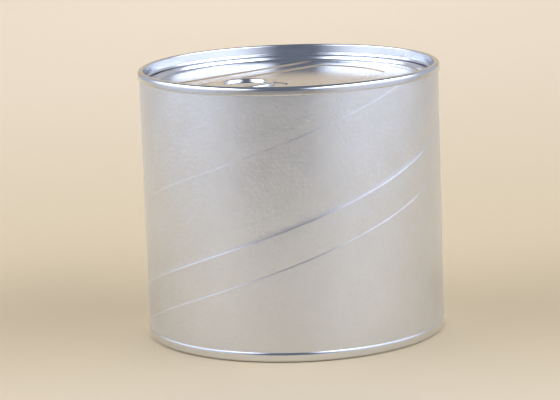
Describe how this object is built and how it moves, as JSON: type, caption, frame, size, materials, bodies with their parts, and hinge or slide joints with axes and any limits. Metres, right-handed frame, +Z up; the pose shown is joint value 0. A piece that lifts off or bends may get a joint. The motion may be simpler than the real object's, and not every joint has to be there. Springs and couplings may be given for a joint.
{
  "type": "paper can",
  "caption": "Round paperboard can in satin metal foil, its spiral winding lines showing, with seamed metal ends, the top one easy to open by a ring-pull tab.",
  "frame": {"origin": "centre of the circle that the can stands on, at the lowest edge of the bottom seam", "axes": "+Z up along the can's axis; -Y is the side that faces the viewer; the ring-pull tab's nose points 43 degrees past -X towards -Y"},
  "size_m": [0.1024, 0.1024, 0.0911],
  "materials": {
    "foil_paper": "satin metal foil on wound paperboard, finely mottled",
    "tinplate": "bright tinned steel, nearly mirror smooth",
    "tab_metal": "bright rolled sheet"
  },
  "bodies": {
    "root": {"paper_body": "foil_paper", "top_end": "tinplate", "bottom_end": "tinplate", "pull_tab": "tab_metal"}
  },
  "joints": []
}
